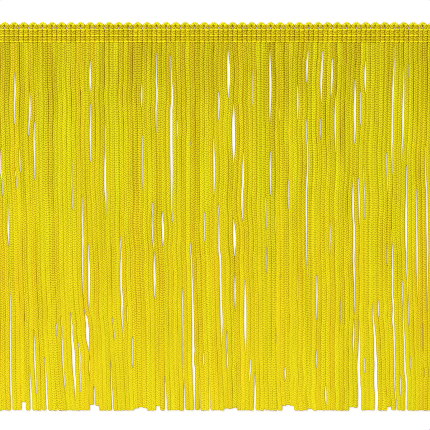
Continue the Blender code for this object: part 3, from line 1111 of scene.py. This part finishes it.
def lay_link(sizes, tube, row_depth, chance, number):
    """One chain stitch: a loop that starts inside the last one, rises and lies over the next one's start."""
    half = sizes.chain_yarn / 2
    angle = tube_angle(tube)
    sin = np.sin(angle)
    turned = tube.ring / tube.rings * 2 * math.pi
    share = (1 - np.cos(turned)) / 2
    arch = np.sin(math.pi * share)
    length = PITCH * LINK_LENGTH
    spread = sizes.chain_width / 2 * (LINK_SPREAD[0] + (LINK_SPREAD[1] - LINK_SPREAD[0]) * share)
    along_x = length * np.sin(turned)
    along_y = 2 * spread * np.cos(turned)
    size = np.hypot(along_x, along_y)
    out = tube.rho * half * np.cos(angle)
    wobble = chance.uniform(-1, 1, 2) * LINK_WOBBLE
    x = column_centre(number) + PITCH * LINK_START + length * share - along_y / size * out
    y = PICOT_TIP - row_depth + spread * np.sin(turned) + along_x / size * out + wobble[0]
    z = LINK_FOOT + half + LINK_ARCH * arch + LINK_LIFT * share + tube.rho * half * sin + wobble[1]
    # Painted shade underneath and where the stitch dives into the heading
    under = LINK_UNDER_SHADE * ease(-sin, *LINK_UNDERSIDE)
    hollow = np.clip(LINK_ENDS_SHADE - LINK_ENDS_FADE * arch + under, 0, 1)
    tint = np.full(len(x), CHAIN_TINT + CHAIN_TINT_CHANCE * chance.uniform(-1, 1))
    warm = np.full(len(x), CHAIN_WARM)
    straight = straight_place(tube, half, 2 * length / tube.rings, 0, number)
    return Laid(np.column_stack([x, y, z]), hollow, tint, warm, straight, np.zeros(len(x)))


class TRIM_OT_chain_rows(bpy.types.Operator):
    """Makes the three rows of chain stitches, each stitch a loop that holds the next"""

    bl_idname = "trim.chain_rows"
    bl_label = "Chain rows"

    def execute(self, context):
        sizes = context.scene.fringe_sizes
        tube = make_tube(LINK_SIDES, LINK_RINGS)
        material = chain_rayon(sizes)
        chance = np.random.default_rng(sizes.seed + 3)
        for node, row_depth in zip(ROW_NODES, ROW_DEPTHS):
            cords = [lay_link(sizes, tube, row_depth, chance, index) for index in range(COLUMNS)]
            add_piece(node + "_stitches", tube, cords, material, node)
        bpy.data.meshes.remove(tube.mesh)
        return {"FINISHED"}


# Width of the pixel filter. Like the denoiser's light prefilter, it keeps single stitches apart in the
# render.
PIXEL_FILTER = 0.8

# Matt white paper, half the side of the floor in metres, and the even glow of the studio. The paper has
# no gloss and gives off light, so it stays white right up to the fringe.
PAPER = "bcbcbc"
FLOOR_SIZE = 3.0
STUDIO_GLOW = 0.41

# Camera straight above, in millimetres of lens and sensor: so far away that all strands are seen from the
# top
CAMERA_LENS = 120.0
CAMERA_SENSOR = 36.0

# Soft lamps: place in metres, the place along Y that each is aimed at, size and power
Lamp = namedtuple("Lamp", "name across along above aim size watts")
LAMPS = [
    Lamp("key", -0.34, 0.45, 0.9, 0.0, 0.4, 5.5),
    Lamp("fill", -0.02, -0.2, 0.25, -0.06, 0.3, 0.3),
]


class TRIM_OT_stage(bpy.types.Operator):
    """Makes the pale floor, the soft studio light and the camera straight above"""

    bl_idname = "trim.stage"
    bl_label = "Stage"

    def execute(self, context):
        sizes = context.scene.fringe_sizes
        scene = context.scene
        bm = bmesh.new()
        bmesh.ops.create_grid(bm, x_segments=1, y_segments=1, size=FLOOR_SIZE)
        mesh = bpy.data.meshes.new("floor")
        bm.to_mesh(mesh)
        bm.free()
        floor = bpy.data.objects.new("floor", mesh)
        scene.collection.objects.link(floor)
        material = bpy.data.materials.new("floor_paper")
        material.use_nodes = True
        shader = material.node_tree.nodes["Principled BSDF"]
        shader.inputs["Base Color"].default_value = linear(PAPER)
        shader.inputs["Roughness"].default_value = 1.0
        shader.inputs["Specular IOR Level"].default_value = 0.0
        shader.inputs["Emission Color"].default_value = linear("ffffff")
        shader.inputs["Emission Strength"].default_value = sizes.floor_glow
        mesh.materials.append(material)

        world = bpy.data.worlds.new("studio")
        world.use_nodes = True
        background = world.node_tree.nodes["Background"]
        background.inputs["Color"].default_value = linear("ffffff")
        background.inputs["Strength"].default_value = STUDIO_GLOW
        scene.world = world

        for row in LAMPS:
            light = bpy.data.lights.new(row.name, "AREA")
            light.shape = "DISK"
            light.size = row.size
            light.energy = row.watts * sizes.light
            lamp = bpy.data.objects.new(row.name, light)
            lamp.location = (row.across, row.along, row.above)
            lamp.rotation_mode = "QUATERNION"
            aim = Vector((0.0, row.aim, 0.0)) - lamp.location
            lamp.rotation_quaternion = aim.to_track_quat("-Z", "Y")
            scene.collection.objects.link(lamp)

        px = DROP / (PHOTO_CUT_PX - PHOTO_TIP_PX)
        side = PHOTO_SIDE_PX * px
        camera = bpy.data.objects.new("camera", bpy.data.cameras.new("camera"))
        camera.data.lens = CAMERA_LENS
        camera.data.sensor_width = CAMERA_SENSOR
        distance = side * CAMERA_LENS / CAMERA_SENSOR
        camera.location = (
            (PHOTO_SIDE_PX / 2 - PHOTO_MIDDLE_PX) * px,
            PICOT_TIP - (PHOTO_SIDE_PX / 2 - PHOTO_TIP_PX) * px,
            distance + sizes.strand_thick,
        )
        scene.collection.objects.link(camera)
        scene.camera = camera
        scene.view_settings.view_transform = "Standard"
        scene.cycles.filter_width = PIXEL_FILTER
        scene.cycles.denoising_prefilter = "FAST"
        return {"FINISHED"}


OPERATORS = (TRIM_OT_fringe, TRIM_OT_heading, TRIM_OT_picots, TRIM_OT_chain_rows, TRIM_OT_stage)


class TRIM_PT_panel(bpy.types.Panel):
    """Lists the sizes and the pieces in the 3D view's sidebar"""

    bl_idname = "TRIM_PT_panel"
    bl_label = "Chainette Fringe"
    bl_space_type = "VIEW_3D"
    bl_region_type = "UI"
    bl_category = "Fringe"

    def draw(self, context):
        sizes = context.scene.fringe_sizes
        for name in FringeSizes.__annotations__:
            self.layout.prop(sizes, name)
        for operator in OPERATORS:
            self.layout.operator(operator.bl_idname)


def register():
    for kind in (FringeSizes, *OPERATORS, TRIM_PT_panel):
        bpy.utils.register_class(kind)
    bpy.types.Scene.fringe_sizes = PointerProperty(type=FringeSizes)


def unregister():
    del bpy.types.Scene.fringe_sizes
    for kind in (TRIM_PT_panel, *reversed(OPERATORS), FringeSizes):
        bpy.utils.unregister_class(kind)


def main():
    register()
    bpy.ops.trim.fringe()
    bpy.ops.trim.heading()
    bpy.ops.trim.picots()
    bpy.ops.trim.chain_rows()
    bpy.ops.trim.stage()


if __name__ == "__main__":
    main()
